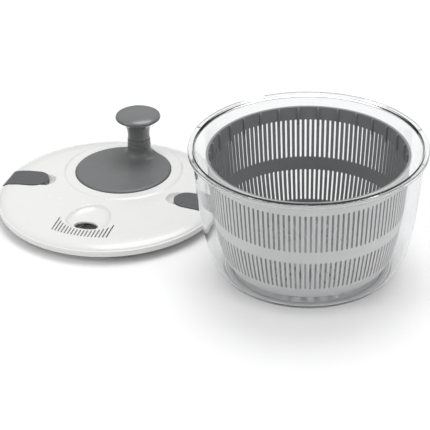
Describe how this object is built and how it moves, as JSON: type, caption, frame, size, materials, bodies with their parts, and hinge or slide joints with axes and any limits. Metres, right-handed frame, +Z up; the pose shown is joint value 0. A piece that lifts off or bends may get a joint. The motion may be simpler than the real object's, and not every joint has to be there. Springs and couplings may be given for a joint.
{
  "type": "salad spinner",
  "caption": "Hand-cranked salad spinner: clear bowl on a grip ring, slotted basket on a pivot, and a lid with crank dial, gears, basket driver and two side latches, standing beside the bowl.",
  "frame": {"origin": "centre of the bowl's base, on the table", "axes": "+Z up along the bowl's axis; the lid stands beside the bowl towards -X and +Y"},
  "size_m": [0.4856, 0.4016, 0.1495],
  "materials": {
    "clear_plastic": "clear moulded, polished",
    "grip_rubber": "matt, translucent",
    "grey_plastic": "fine satin",
    "dark_plastic": "satin",
    "white_plastic": "gloss",
    "inner_white_plastic": "satin",
    "acetal": "satin",
    "steel": "bright zinc"
  },
  "bodies": {
    "bowl": {"bowl": "clear_plastic", "grip_ring": "grip_rubber"},
    "basket": {"basket": "grey_plastic"},
    "lid": {"lid_shell": "white_plastic", "gear_cover": "inner_white_plastic", "cover_screw_1": "steel", "cover_screw_2": "steel", "cover_screw_3": "steel", "cover_screw_4": "steel", "latch_pin_right": "steel", "latch_pin_left": "steel", "latch_spring_right": "steel", "latch_spring_left": "steel"},
    "dial": {"dial": "dark_plastic", "drive_gear": "acetal", "gear_washer": "steel", "gear_screw": "steel", "knob_post": "steel", "knob_washer": "steel", "knob_screw": "steel"},
    "knob": {"knob": "dark_plastic", "knob_cap": "dark_plastic"},
    "driver": {"pinion": "acetal", "basket_driver": "grey_plastic", "driver_screw": "steel"},
    "latch_right": {"latch_right": "dark_plastic"},
    "latch_left": {"latch_left": "dark_plastic"}
  },
  "joints": [
    {"name": "basket_spin", "type": "hinge", "parent": "bowl", "child": "basket", "pos_m": [0, 0, 0.011], "axis": [0, 0, 1], "continuous": true},
    {"name": "lid_lift", "type": "slide", "parent": "bowl", "child": "lid", "axis": [0, 0, 1], "range_m": [0, 0.25]},
    {"name": "dial_turn", "type": "hinge", "parent": "lid", "child": "dial", "pos_m": [-0.21011, 0.18278, 0.02], "axis": [0, 0, 1], "continuous": true},
    {"name": "knob_spin", "type": "hinge", "parent": "dial", "child": "knob", "pos_m": [-0.1917, 0.21986, 0.05], "axis": [0, 0, 1], "continuous": true},
    {"name": "driver_spin", "type": "hinge", "parent": "lid", "child": "driver", "pos_m": [-0.22401, 0.13998, 0.012], "axis": [0, 0, 1], "continuous": true},
    {"name": "latch_right_press", "type": "hinge", "parent": "lid", "child": "latch_right", "pos_m": [-0.11274, 0.10382, 0.0148], "axis": [-0.309, -0.9511, 0], "range_deg": [0, 9], "stiffness_Nm_per_rad": 0.5, "springref_deg": -11.46},
    {"name": "latch_left_press", "type": "hinge", "parent": "lid", "child": "latch_left", "pos_m": [-0.33529, 0.17613, 0.0148], "axis": [0.309, 0.9511, 0], "range_deg": [0, 9], "stiffness_Nm_per_rad": 0.5, "springref_deg": -11.46}
  ],
  "couplings": [
    {"joint": "driver_spin", "follows": "dial_turn", "ratio": -3.5}
  ]
}
